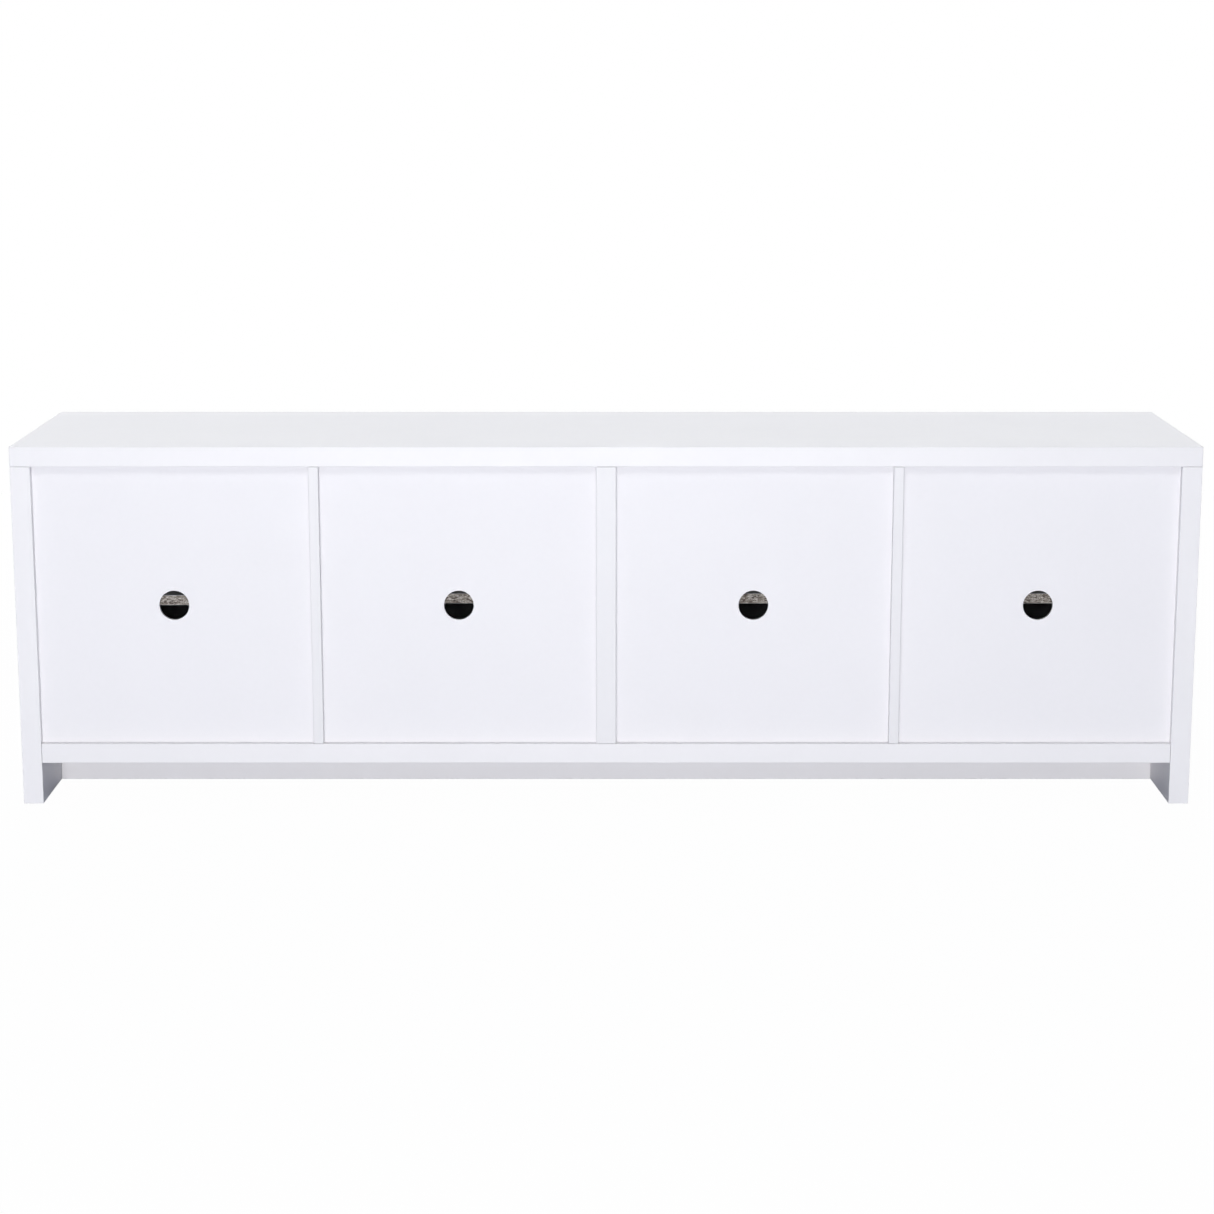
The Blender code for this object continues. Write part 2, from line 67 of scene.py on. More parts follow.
MELAMINE_WHITE = (0.810, 0.794, 0.812)
# Painted shade: the centre and quarter dividers take a darker copy of the same melamine white.
DIVIDER_SHADED_WHITE = (0.765, 0.752, 0.772)
MELAMINE_ROUGHNESS = 0.42
BAND_THICK = 0.0010  # glued edge band, whose joint shows as a hairline
SEAM_HALF_WIDTH = 0.00014
SEAM_STRENGTH = 0.55
SEAM_GREY = (0.30, 0.30, 0.32, 1)
FACING_THICK = 0.0005  # deeper than this in a groove or a hole, the core shows
PAPER_THICK = 0.00035
CHIP_SCALE = 620.0
CHIP_FLATNESS = (0.42, 0.42, 1.0)
CHIP_WOBBLE = (0.0016, 0.0016, 0.0016)
CHIP_WOBBLE_SCALE = 260.0
CHIP_STEP = 0.6  # how far one chip stands above the next, against the depth of the gaps
CHIP_TINTS = (
    (0.0, (0.045, 0.034, 0.030)),
    (0.17, (0.13, 0.105, 0.088)),
    (0.42, (0.28, 0.250, 0.222)),
    (0.75, (0.40, 0.370, 0.336)),
    (1.0, (0.55, 0.515, 0.475)),
)
BINDER_BROWN = (0.11, 0.085, 0.07, 1)
BINDER_WIDTH = 0.05


class Reading:
    """What a socket gives at each point of a surface. Sums on it become Math nodes."""

    def __init__(self, socket):
        self.socket = socket

    def node(self, kind, settings=None, values=None, output=0):
        """Add a shader node, set it up, give its sockets numbers or readings, and read one output."""
        tree = self.socket.id_data
        added = tree.nodes.new("ShaderNode" + kind)
        settings = dict(settings or {})
        stops = settings.pop("stops", None)
        for name, value in settings.items():
            setattr(added, name, value)
        if stops:
            ramp = added.color_ramp.elements
            for middle in stops[1:-1]:
                ramp.new(middle[0])
            for element, (position, colour) in zip(ramp, stops):
                element.position = position
                element.color = (*colour, 1)
        for name, value in (values or {}).items():
            if isinstance(value, Reading):
                tree.links.new(value.socket, added.inputs[name])
            else:
                added.inputs[name].default_value = value
        return Reading(added.outputs[output])

    def math(self, operation, *terms):
        return self.node("Math", {"operation": operation}, dict(enumerate(terms)))

    def __add__(self, other):
        return self.math("ADD", self, other)

    def __sub__(self, other):
        return self.math("SUBTRACT", self, other)

    def __rsub__(self, other):
        return self.math("SUBTRACT", other, self)

    def __mul__(self, other):
        return self.math("MULTIPLY", self, other)

    def __gt__(self, limit):
        return self.math("GREATER_THAN", self, limit)

    def __lt__(self, limit):
        return self.math("LESS_THAN", self, limit)

    def __abs__(self):
        return self.math("ABSOLUTE", self)

    __radd__ = __add__
    __rmul__ = __mul__

    def noise(self, scale, detail=2.0):
        return self.node("TexNoise", {}, {"Vector": self, "Scale": scale, "Detail": detail})

    def spread(self, low, high):
        """Turn a 0 to 1 reading into one from low to high."""
        return self * (high - low) + low

    def mixed(self, under, over):
        """The colour under where this reading is 0, and over where it is 1."""
        return self.node("Mix", {"data_type": "RGBA"}, {0: self, 6: under, 7: over}, 2)

    def into(self, shader, name):
        self.socket.id_data.links.new(self.socket, shader.inputs[name])


def begin_finish(name, roughness=0.5, metallic=0.0):
    """A new finish: its material, its shader, and the place of each point in metres."""
    finish = bpy.data.materials.new(name)
    finish.use_nodes = True
    shader = finish.node_tree.nodes["Principled BSDF"]
    shader.inputs["Roughness"].default_value = roughness
    shader.inputs["Metallic"].default_value = metallic
    place = finish.node_tree.nodes.new("ShaderNodeTexCoord").outputs["Object"]
    return finish, shader, Reading(place)


def chipboard(place):
    """The colour and the height of a bare chipboard edge: flat chips pressed in a brown binder."""
    wobble = place.node("TexNoise", {}, {"Vector": place, "Scale": CHIP_WOBBLE_SCALE}, 1)
    bent = place.node("VectorMath", {"operation": "MULTIPLY_ADD"}, {0: wobble, 1: CHIP_WOBBLE, 2: place})
    laid = bent.node("Mapping", {}, {"Vector": bent, "Scale": CHIP_FLATNESS})
    chips = laid.node("TexVoronoi", {}, {"Vector": laid, "Scale": CHIP_SCALE}, 1)
    shade = chips.node("SeparateColor", {}, {0: chips})
    tint = shade.node("ValToRGB", {"stops": CHIP_TINTS}, {0: shade})
    gaps = laid.node("TexVoronoi", {"feature": "DISTANCE_TO_EDGE"}, {"Vector": laid, "Scale": CHIP_SCALE})
    in_gap = gaps < BINDER_WIDTH
    return in_gap.mixed(tint, BINDER_BROWN), gaps + shade * CHIP_STEP


def normal_of(place):
    return Reading(place.socket.node.outputs["Normal"])


def coat_board(node, name, white, roughness, bands="Y", raw=False):
    """Face a CAD board. bands names the directions whose edges are banded. A raw board is bare at its
    two ends and its rear."""
    finish, shader, place = begin_finish(name)
    low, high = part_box(node)
    middle, half = (low + high) / 2, (high - low) / 2
    along = {axis: place.node("SeparateXYZ", {}, {0: place}, index) for index, axis in enumerate("XYZ")}
    depth = {axis: half[index] - abs(along[axis] - middle[index]) for index, axis in enumerate("XYZ")}
    nearest = place.math("MINIMUM", depth["X"], place.math("MINIMUM", depth["Y"], depth["Z"]))

    tone = place.noise(6.0).spread(0.975, 1.02) * place.noise(110.0).spread(0.992, 1.008)
    face = place.node("VectorMath", {"operation": "SCALE"}, {0: white, "Scale": tone})
    for axis in bands:
        seam = abs(depth[axis] - BAND_THICK) < SEAM_HALF_WIDTH
        face = (seam * SEAM_STRENGTH).mixed(face, SEAM_GREY)

    core = nearest > FACING_THICK
    if raw:
        facing = [place.node("SeparateXYZ", {}, {0: normal_of(place)}, index) for index in range(2)]
        sawn = place.math("MAXIMUM", abs(facing[0]), facing[1]) > 0.7
        core = place.math("MAXIMUM", core, sawn * (depth["Z"] > PAPER_THICK))
    chip_colour, chip_height = chipboard(place)
    core.mixed(face, chip_colour).into(shader, "Base Color")
    smudge = place.noise(34.0, 4.0).spread(roughness - 0.04, roughness + 0.05)
    (core * (0.85 - smudge) + smudge).into(shader, "Roughness")
    peel = place.noise(520.0, 1.0) * 0.05
    relief = core * (chip_height - peel) + peel
    place.node("Bump", {}, {"Strength": 0.35, "Distance": 0.0005, "Height": relief}).into(shader, "Normal")
    slots = frame["nodes"][node].data.materials
    slots.clear()
    slots.append(finish)


for board, banded in (("top_panel", "XY"), ("bottom_panel", "Y"), ("left_side_panel", "Y"),
                      ("right_side_panel", "Y"), ("plinth_rail", "")):
    coat_board(board, f"melamine_{board}", MELAMINE_WHITE, MELAMINE_ROUGHNESS, banded)
# The dividers are coated with that darker white, which is painted shade.
for divider in ("left_divider", "centre_divider", "right_divider"):
    coat_board(divider, f"melamine_{divider}", DIVIDER_SHADED_WHITE, MELAMINE_ROUGHNESS, "Y")

# ------------------------------------------------------------------ back panels
# 5 mm fibreboard, lacquered white on both sides and slid into grooves round each bay. Each has a
# 45 mm hole for cables, whose cut edge is sealed with the same lacquer.

LACQUER_WHITE = (0.800, 0.784, 0.808)
SEALED_EDGE = (0.66, 0.64, 0.62, 1)
LACQUER_THICK = 0.0004


def lacquer_back(number):
    node = f"back_panel_{number}"
    finish, shader, place = begin_finish(f"lacquer_{node}")
    low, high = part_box(node)
    middle = (low + high) / 2
    tone = place.noise(5.0).spread(0.985, 1.015) * place.noise(160.0, 3.0).spread(0.990, 1.010)
    face = place.node("VectorMath", {"operation": "SCALE"}, {0: LACQUER_WHITE, "Scale": tone})
    y_depth = (high.y - low.y) / 2 - abs(place.node("SeparateXYZ", {}, {0: place}, 1) - middle.y)
    (y_depth > LACQUER_THICK).mixed(face, SEALED_EDGE).into(shader, "Base Color")
    place.noise(30.0, 4.0).spread(0.44, 0.54).into(shader, "Roughness")
    fibre = place.noise(700.0, 3.0) * 0.06 + place.noise(90.0) * 0.06
    place.node("Bump", {}, {"Strength": 0.35, "Distance": 0.0005, "Height": fibre}).into(shader, "Normal")
    slots = frame["nodes"][node].data.materials
    slots.clear()
    slots.append(finish)


for bay in range(1, 5):
    lacquer_back(bay)

# ------------------------------------------------------------------ cam covers
# Flat-pack cabinets are drawn together by cam locks let into the boards. A white plastic cover with a
# raised rim is pressed over each lock: inside the bays near the top and bottom, and under the bottom.

COVER_RADIUS = 0.0088
COVER_THICK = 0.0012
COVER_RIM = 0.0011
COVER_EDGE_ROUND = 0.0004
COVER_FROM_END = 0.034  # board's end to the middle of its cam lock
COVER_STEP = (0.0002, -0.0003)  # groove inside the raised rim: width and depth
COVER_YS = {"front": cad_bounds[0].y + 0.086, "rear": cad_bounds[1].y - 0.080}


def edit_new(name):
    """The primitive just added becomes a piece of that name, in edit mode with nothing picked."""
    piece = bpy.context.object
    piece.name = piece.data.name = name
    bpy.ops.object.transform_apply(location=True, rotation=True, scale=True)
    bpy.ops.object.mode_set(mode="EDIT")
    bpy.ops.mesh.select_all(action="DESELECT")
    return piece


def pick(piece, kind, wanted):
    """In edit mode, pick the faces, edges or vertices that pass a test."""
    bpy.ops.mesh.select_mode(type=kind)
    bpy.ops.mesh.select_all(action="DESELECT")
    shape = bmesh.from_edit_mesh(piece.data)
    for item in {"FACE": shape.faces, "EDGE": shape.edges, "VERT": shape.verts}[kind]:
        if wanted(item):
            item.select_set(True)
    bmesh.update_edit_mesh(piece.data)


def middle_of(item):
    """The middle of a face or an edge."""
    return sum((corner.co for corner in item.verts), Vector()) / len(item.verts)


def leave_edit(angle=30):
    bpy.ops.object.mode_set(mode="OBJECT")
    bpy.ops.object.shade_smooth_by_angle(angle=math.radians(angle))


def add_cylinder(name, radius, start, end, vertices=32):
    """A cylinder between two points, in edit mode."""
    start, end = Vector(start), Vector(end)
    turn = (end - start).to_track_quat("Z", "Y").to_euler()
    bpy.ops.object.select_all(action="DESELECT")
    bpy.ops.mesh.primitive_cylinder_add(vertices=vertices, radius=radius, depth=(end - start).length,
                                        location=(start + end) / 2, rotation=turn)
    return edit_new(name)


def twin_of(piece, name, move):
    """A copy with its own mesh, moved as a whole."""
    twin = piece.copy()
    twin.data = piece.data.copy()
    twin.name = twin.data.name = name
    twin.data.transform(move)
    bpy.context.scene.collection.objects.link(twin)
    return twin


def settle(piece, finish, body, slot, *stands_for):
    """Give a finished piece its material, its body and the CAD nodes that it replaces. The slot is not used.
    """
    piece.data.materials.clear()
    piece.data.materials.append(finish)
    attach(piece, body)
    if stands_for:
        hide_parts(*stands_for)


def moulded_white():
    finish, shader, place = begin_finish("moulded_white_plastic")
    place.noise(90.0).mixed((0.76, 0.76, 0.77, 1), (0.80, 0.80, 0.81, 1)).into(shader, "Base Color")
    place.noise(240.0, 3.0).spread(0.38, 0.52).into(shader, "Roughness")
    grain = place.noise(1500.0)
    place.node("Bump", {}, {"Strength": 0.25, "Distance": 0.0002, "Height": grain}).into(shader, "Normal")
    return finish


cover = add_cylinder("cam_cover_master", COVER_RADIUS, (0, 0, 0), (0, 0, COVER_THICK), 40)
pick(cover, "EDGE", lambda edge: all(corner.co.z > COVER_THICK / 2 for corner in edge.verts))
bpy.ops.mesh.bevel(offset=COVER_EDGE_ROUND, segments=3, affect="EDGES")
pick(cover, "FACE", lambda face: face.normal.z > 0.9)
bpy.ops.mesh.inset(thickness=COVER_RIM)
bpy.ops.mesh.inset(thickness=COVER_STEP[0], depth=COVER_STEP[1])
leave_edit()

moulded = moulded_white()
inner_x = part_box("right_side_panel")[0].x
bay_floor, bay_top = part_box("bottom_panel")[1].z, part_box("top_panel")[0].z
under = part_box("bottom_panel")[0].z
low_and_high = {"upper": bay_top - COVER_FROM_END, "lower": bay_floor + COVER_FROM_END}
cover_places = []
for where, y in COVER_YS.items():
    for end, side in (("left", -1), ("right", 1)):
        wall = Vector((side * inner_x, y, low_and_high["upper"]))
        cover_places.append((f"cam_cover_{end}_side_{where}", wall, (-side, 0, 0)))
        beneath = Vector((side * (inner_x - COVER_FROM_END), y, under))
        cover_places.append((f"cam_cover_{end}_bottom_{where}", beneath, (0, 0, -1)))
    for divider, side in (("left_divider", -1), ("centre_divider", 1), ("right_divider", 1)):
        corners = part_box(divider)
        face_x = corners[1].x if side > 0 else corners[0].x
        for level, z in low_and_high.items():
            face = Vector((face_x, y, z))
            cover_places.append((f"cam_cover_{divider}_{level}_{where}", face, (side, 0, 0)))
for name, seat, outward in cover_places:
    turn = Vector(outward).to_track_quat("Z", "Y").to_matrix().to_4x4()
    settle(twin_of(cover, name, Matrix.Translation(seat) @ turn), moulded, "carcass", "carcass_board")
bpy.data.objects.remove(cover)

# ------------------------------------------------------------------ shelf pins
# Turned steel pins, nickel plated, pushed into 5 mm holes until the collar meets the board. Four
# carry each shelf.

PIN_STEPS = 32
PIN_SUNK = 0.0065  # length pushed into the board
PIN_OUTLINE = (  # along the pin from the board's face, and out from its middle
    (-PIN_SUNK, 0), (-PIN_SUNK, 0.0021), (-0.0061, 0.0025), (0.0003, 0.0025), (0.0003, 0.0038),
    (0.0005, 0.0040), (0.0010, 0.0040), (0.0012, 0.0038), (0.0012, 0.0026), (0.0014, 0.0025),
    (0.0089, 0.0025), (0.0093, 0.0023), (0.0095, 0.0019), (0.0095, 0),
)


def spun(name, outline, centre, axis, steps):
    """A solid of revolution: a single vertex extruded along an outline, then spun about an axis."""
    outline = [Vector(point) for point in outline]
    bpy.ops.object.select_all(action="DESELECT")
    bpy.ops.mesh.primitive_plane_add(size=0.001, location=outline[0])
    piece = edit_new(name)
    bpy.ops.mesh.select_mode(type="VERT")
    bpy.ops.mesh.select_all(action="SELECT")
    bpy.ops.mesh.merge(type="CENTER")
    for here, there in zip(outline, outline[1:]):
        bpy.ops.mesh.extrude_region_move(TRANSFORM_OT_translate={"value": there - here})
    bpy.ops.mesh.select_all(action="SELECT")
    bpy.ops.mesh.spin(steps=steps, angle=2 * math.pi, center=centre, axis=axis)
    bpy.ops.mesh.select_all(action="SELECT")
    bpy.ops.mesh.remove_doubles(threshold=1e-6)
    bpy.ops.mesh.normals_make_consistent(inside=False)
    return piece


def plated_steel(name, colour, roughness):
    """Bright plating with faint clouding and fine scratches."""
    finish, shader, place = begin_finish(name, roughness, 1.0)
    dull = tuple(0.88 * part for part in colour)
    place.noise(160.0, 4.0).mixed((*colour, 1), (*dull, 1)).into(shader, "Base Color")
    place.noise(700.0, 4.0).spread(roughness - 0.07, roughness + 0.12).into(shader, "Roughness")
    wear = place.noise(2600.0, 2.0)
    place.node("Bump", {}, {"Strength": 0.12, "Distance": 0.0001, "Height": wear}).into(shader, "Normal")
    return finish


plating = plated_steel("plated_steel", (0.66, 0.66, 0.67), 0.26)
pin = spun("shelf_pin_master", [(along, 0, out) for along, out in PIN_OUTLINE], (0, 0, 0), (1, 0, 0),
           PIN_STEPS)
leave_edit()
for bay in range(1, 5):
    for letter in "abcd":
        node = f"shelf_pin_{bay}_{letter}"
        low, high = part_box(node)
        from_left = letter in "ab"
        root_x = low.x + PIN_SUNK if from_left else high.x - PIN_SUNK
        move = Matrix.Translation((root_x, (low.y + high.y) / 2, (low.z + high.z) / 2))
        move @= Matrix.Rotation(0 if from_left else math.pi, 4, "Z")
        settle(twin_of(pin, f"steel_pin_{bay}_{letter}", move), plating, "carcass", "hinge_steel", node)
bpy.data.objects.remove(pin)

# ------------------------------------------------------------------ shelves
# 15 mm chipboard in the same melamine, lying on the pins. The front edge is banded, and the rear and
# the two ends are sawn and left raw.

SHELF_WHITE = (0.79, 0.792, 0.812)

for bay in range(1, 5):
    coat_board(f"shelf_{bay}", f"melamine_shelf_{bay}", SHELF_WHITE, MELAMINE_ROUGHNESS, "", True)

# ------------------------------------------------------------------ hinge arms and mounting plates
# Pressed steel arms with a die-cast block and a winged plate, two to a door, screwed to the side panels
# and the centre divider. The arm's eye turns on the pin in the cup, and two screws adjust the door.

ARM_HALF_HEIGHT = 0.0045
ARM_HALF_THICK = 0.0015
ARM_START = 0.0010  # from the pivot, inside the eye
ARM_EDGE_ROUND = 0.00025
ARM_END_ROUND = 0.003
EYE_RADIUS = 0.0023
EYE_BORE = 0.0015
BEND_INNER = 0.0005
LEG_X = (0.0115, 0.0145)
LEG_END = 0.0627
RIB_MARGIN = 0.0017
RIB_SLOPE = 0.0004
RIB_HEIGHT = 0.0004
BLOCK_EDGE_ROUND = 0.0004
BLOCK_X = (-0.0122, 0.0115)
BLOCK_Y = (0.0327, 0.0587)
POCKET_MARGIN = 0.0022
POCKET_STEP = (0.0005, -0.0009)  # slope and depth of the pocket in each side of the block
PLATE_Y = (0.0377, 0.0537)
PLATE_THICK = 0.002
PLATE_HALF_HEIGHT = 0.024
PLATE_ROUND = 0.004
PLATE_SCREW_Z = 0.0165
SCREW_RADIUS = 0.0033
SCREW_HEIGHT = 0.0016
SCREW_DOME = 0.0006
SCREW_SUNK = 0.0004
SCREW_EDGE_ROUND = 0.00012
RECESS_DEPTH = 0.0007
ADJUSTER_RADIUS = 0.0026
ADJUSTER_HEIGHT = 0.0009
ADJUSTER_DOME = 0.0003
ADJUSTER_FROM_MIDDLE = 0.0065


def add_box(name, low, high):
    """A box between two corners, in edit mode."""
    low, high = Vector(low), Vector(high)
    bpy.ops.object.select_all(action="DESELECT")
    bpy.ops.mesh.primitive_cube_add(size=1, location=(low + high) / 2, scale=high - low)
    return edit_new(name)


def use_tool(piece, tool, operation):
    """Join a second shape to a piece, or cut it away, and drop it."""
    bpy.context.view_layer.objects.active = piece
    modifier = piece.modifiers.new("tool", "BOOLEAN")
    modifier.operation = operation
    modifier.object = tool
    bpy.ops.object.modifier_apply(modifier="tool")
    bpy.data.objects.remove(tool)


def round_edges(piece, width, segments=2, angle=40):
    """Round every edge sharper than the angle, and shade the piece smooth between sharp edges."""
    bpy.ops.object.select_all(action="DESELECT")
    piece.select_set(True)
    bpy.context.view_layer.objects.active = piece
    modifier = piece.modifiers.new("edges", "BEVEL")
    modifier.width = width
    modifier.segments = segments
    modifier.limit_method = "ANGLE"
    modifier.angle_limit = math.radians(angle)
    bpy.ops.object.modifier_apply(modifier="edges")
    bpy.ops.object.shade_smooth_by_angle(angle=math.radians(30))


def make_screw(name, radius, height, dome):
    """A pan head on +Z with a cross recess, its seat at the origin."""
    screw = add_cylinder(name, radius, (0, 0, -SCREW_SUNK), (0, 0, height), 28)
    pick(screw, "FACE", lambda face: face.normal.z > 0.9)
    bpy.ops.mesh.inset(thickness=radius * 0.35, depth=dome * 0.75)
    bpy.ops.mesh.inset(thickness=radius * 0.30, depth=dome * 0.25)
    leave_edit(50)
    arm_long, arm_wide = radius * 0.62, radius * 0.16
    for reach in ((arm_long, arm_wide), (arm_wide, arm_long)):
        slot = add_box("recess", (-reach[0], -reach[1], height - RECESS_DEPTH),
                       (reach[0], reach[1], height + 0.002))
        bpy.ops.object.mode_set(mode="OBJECT")
        use_tool(screw, slot, "DIFFERENCE")
    round_edges(screw, SCREW_EDGE_ROUND, 1, 55)
    return screw


def joined(name, pieces):
    bpy.ops.object.select_all(action="DESELECT")
    for piece in pieces:
        piece.select_set(True)
    bpy.context.view_layer.objects.active = pieces[0]
    bpy.ops.object.join()
    pieces[0].name = pieces[0].data.name = name
    return pieces[0]


# The arm is drawn with its pivot at the origin, +X into the bay and +Y inward
bend = (LEG_X[0] - BEND_INNER, ARM_HALF_THICK + BEND_INNER)
arm = add_box("hinge_arm_master", (ARM_START, -ARM_HALF_THICK, -ARM_HALF_HEIGHT),
              (bend[0], ARM_HALF_THICK, ARM_HALF_HEIGHT))
pick(arm, "FACE", lambda face: face.normal.x > 0.9)
bpy.ops.mesh.spin(steps=6, angle=math.pi / 2, center=(*bend, 0), axis=(0, 0, -1))
bpy.ops.mesh.extrude_region_move(TRANSFORM_OT_translate={"value": (0, LEG_END - bend[1], 0)})
pick(arm, "EDGE", lambda edge: middle_of(edge).y > LEG_END - 1e-5 and abs(middle_of(edge).z) > 0.004)
bpy.ops.mesh.bevel(offset=ARM_END_ROUND, segments=5, affect="EDGES")
pick(arm, "FACE", lambda face: face.normal.x > 0.9 and middle_of(face).y > 0.01)
bpy.ops.mesh.inset(thickness=RIB_MARGIN)
bpy.ops.mesh.inset(thickness=RIB_SLOPE, depth=RIB_HEIGHT)
bpy.ops.mesh.select_all(action="SELECT")
bpy.ops.mesh.normals_make_consistent(inside=False)
leave_edit()
eye = add_cylinder("eye", EYE_RADIUS, (0, 0, -ARM_HALF_HEIGHT), (0, 0, ARM_HALF_HEIGHT))
leave_edit()
use_tool(arm, eye, "UNION")
bore = add_cylinder("bore", EYE_BORE, (0, 0, -0.02), (0, 0, 0.02), 24)
leave_edit()
use_tool(arm, bore, "DIFFERENCE")
round_edges(arm, ARM_EDGE_ROUND, 2, 50)

block = add_box("hinge_block_master", (BLOCK_X[0], BLOCK_Y[0], -ARM_HALF_HEIGHT),
                (BLOCK_X[1], BLOCK_Y[1], ARM_HALF_HEIGHT))
pick(block, "FACE", lambda face: abs(face.normal.z) > 0.9)
bpy.ops.mesh.inset(thickness=POCKET_MARGIN, use_individual=True)
bpy.ops.mesh.inset(thickness=POCKET_STEP[0], depth=POCKET_STEP[1], use_individual=True)
leave_edit()
plate = add_box("plate", (BLOCK_X[0], PLATE_Y[0], -PLATE_HALF_HEIGHT),
                (BLOCK_X[0] + PLATE_THICK, PLATE_Y[1], PLATE_HALF_HEIGHT))
pick(plate, "EDGE", lambda edge: abs(edge.verts[0].co.x - edge.verts[1].co.x) > 0.001)
bpy.ops.mesh.bevel(offset=PLATE_ROUND, segments=8, affect="EDGES")
leave_edit()
use_tool(block, plate, "UNION")
round_edges(block, BLOCK_EDGE_ROUND)

plate_screw = make_screw("plate_screw_master", SCREW_RADIUS, SCREW_HEIGHT, SCREW_DOME)
adjuster = make_screw("adjuster_master", ADJUSTER_RADIUS, ADJUSTER_HEIGHT, ADJUSTER_DOME)
onto_x = Matrix.Rotation(math.pi / 2, 4, "Y")
plate_middle = sum(PLATE_Y) / 2
arm_screws = joined("hinge_screws_master", [
    twin_of(plate_screw, "screw", Matrix.Translation((BLOCK_X[0] + PLATE_THICK, plate_middle, z)) @ onto_x)
    for z in (-PLATE_SCREW_Z, PLATE_SCREW_Z)
] + [
    twin_of(adjuster, "screw", Matrix.Translation((LEG_X[1] + RIB_HEIGHT, y, 0)) @ onto_x)
    for y in (plate_middle - ADJUSTER_FROM_MIDDLE, plate_middle + ADJUSTER_FROM_MIDDLE)
])

cast_zinc = plated_steel("cast_zinc", (0.58, 0.58, 0.59), 0.34)
hinges = []  # body, number, end, and the move from the drawing to the hinge's place
for joint in frame["joints"]:
    number = joint["child"][-1]
    pivot = Vector(joint["pos_m"])
    for end in ("upper", "lower"):
        low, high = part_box(f"hinge_arm_{number}_{end}")
        move = Matrix.Translation((pivot.x, pivot.y, (low.z + high.z) / 2))
        if low.x + high.x < 2 * pivot.x:
            move @= Matrix.Rotation(math.pi, 4, "Y")
        hinges.append((joint["child"], number, end, move))
for body, number, end, move in hinges:
    settle(twin_of(arm, f"pressed_arm_{number}_{end}", move), plating, "carcass", "hinge_steel",
           f"hinge_arm_{number}_{end}")
    settle(twin_of(block, f"mounting_plate_{number}_{end}", move), cast_zinc, "carcass", "hinge_steel")
    settle(twin_of(arm_screws, f"mounting_screws_{number}_{end}", move), plating, "carcass", "hinge_steel")
for master in (arm, block, arm_screws):
    bpy.data.objects.remove(master)

# ------------------------------------------------------------------ doors
# 16 mm boards wrapped in white lacquer, with softly rounded edges all round. They are set flush into
# the carcass, and the cup bores at the back bare the core.

DOOR_CORE_BROWN = (0.52, 0.42, 0.31, 1)
DOOR_WRAP = 0.0009  # deeper than this in a bore, the core shows


def lacquer_door(number):
    node = f"door_{number}"
    finish, shader, place = begin_finish(f"lacquer_{node}")
    low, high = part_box(node)
    middle, half = (low + high) / 2, (high - low) / 2
    along = [place.node("SeparateXYZ", {}, {0: place}, axis) for axis in range(3)]
    depths = [half[axis] - abs(along[axis] - middle[axis]) for axis in range(3)]
    core = place.math("MINIMUM", depths[0], place.math("MINIMUM", depths[1], depths[2])) > DOOR_WRAP
    tone = place.noise(5.0).spread(0.985, 1.015) * place.noise(120.0).spread(0.994, 1.006)
    face = place.node("VectorMath", {"operation": "SCALE"}, {0: MELAMINE_WHITE, "Scale": tone})
    core.mixed(face, DOOR_CORE_BROWN).into(shader, "Base Color")
    gloss = place.noise(26.0, 4.0).spread(0.26, 0.34)
    (core * (0.8 - gloss) + gloss).into(shader, "Roughness")
    peel = place.noise(230.0, 1.0) * 0.10
    place.node("Bump", {}, {"Strength": 0.3, "Distance": 0.0005, "Height": peel}).into(shader, "Normal")
    slots = frame["nodes"][node].data.materials
    slots.clear()
    slots.append(finish)


for bay in range(1, 5):
    lacquer_door(bay)

# ------------------------------------------------------------------ hinge cups
# Drawn steel cups pressed into 35 mm bores in the doors. A flange with two ears takes the screws, and a
# riveted pin across the cup, with a closing spring on each side of the arm, carries the door.

CUP_X = 0.0130
CUP_EAR_X = (0.0157, 0.0293)
CUP_EAR_HALF = 0.028
CUP_EAR_Y = (0.0091, 0.0099)
CUP_EAR_ROUND = 0.004
CUP_EAR_EDGE_ROUND = 0.0002
EAR_SCREW = (0.0225, 0.0225)  # along the door and up
CUP_PIN_RADIUS = 0.0012
CUP_PIN_HALF = 0.0102
CUP_PIN_ROUND = 0.0002
SPRING_RADIUS = 0.0019
SPRING_WIRE = 0.0003
SPRING_TURNS = 5
SPRING_LENGTH = 0.0042
SPRING_GAP = 0.0006
CUP_MOUTH_RADIUS = 0.0178  # the ears stop inside the rim here
CUP_OUTLINE = (  # out from the cup's middle, and inward from the pivot
    (0, -0.0035), (0.0150, -0.0035), (0.0162, -0.0032), (0.0169, -0.0025), (0.0172, -0.0013),
    (0.0172, 0.0090), (0.0188, 0.0090), (0.0190, 0.0092), (0.0190, 0.0097), (0.0187, 0.0100),
    (0.0170, 0.0100), (0.0166, 0.0098), (0.0164, 0.0093), (0.0164, -0.0010), (0.0160, -0.0020),
    (0.0150, -0.0026), (0, -0.0027),
)

cup = spun("hinge_cup_master", [(CUP_X + out, y, 0) for out, y in CUP_OUTLINE], (CUP_X, 0, 0), (0, 1, 0), 64)
leave_edit()
ears = add_box("ears", (CUP_EAR_X[0], CUP_EAR_Y[0], -CUP_EAR_HALF),
               (CUP_EAR_X[1], CUP_EAR_Y[1], CUP_EAR_HALF))
pick(ears, "EDGE", lambda edge: abs(edge.verts[0].co.y - edge.verts[1].co.y) > 0.0005)
bpy.ops.mesh.bevel(offset=CUP_EAR_ROUND, segments=8, affect="EDGES")
leave_edit()
mouth = add_cylinder("mouth", CUP_MOUTH_RADIUS, (CUP_X, -0.01, 0), (CUP_X, 0.02, 0), 64)
leave_edit()
use_tool(ears, mouth, "DIFFERENCE")
round_edges(ears, CUP_EAR_EDGE_ROUND, 2, 60)
use_tool(cup, ears, "UNION")
bpy.ops.object.select_all(action="DESELECT")
cup.select_set(True)
bpy.context.view_layer.objects.active = cup
bpy.ops.object.shade_smooth_by_angle(angle=math.radians(30))

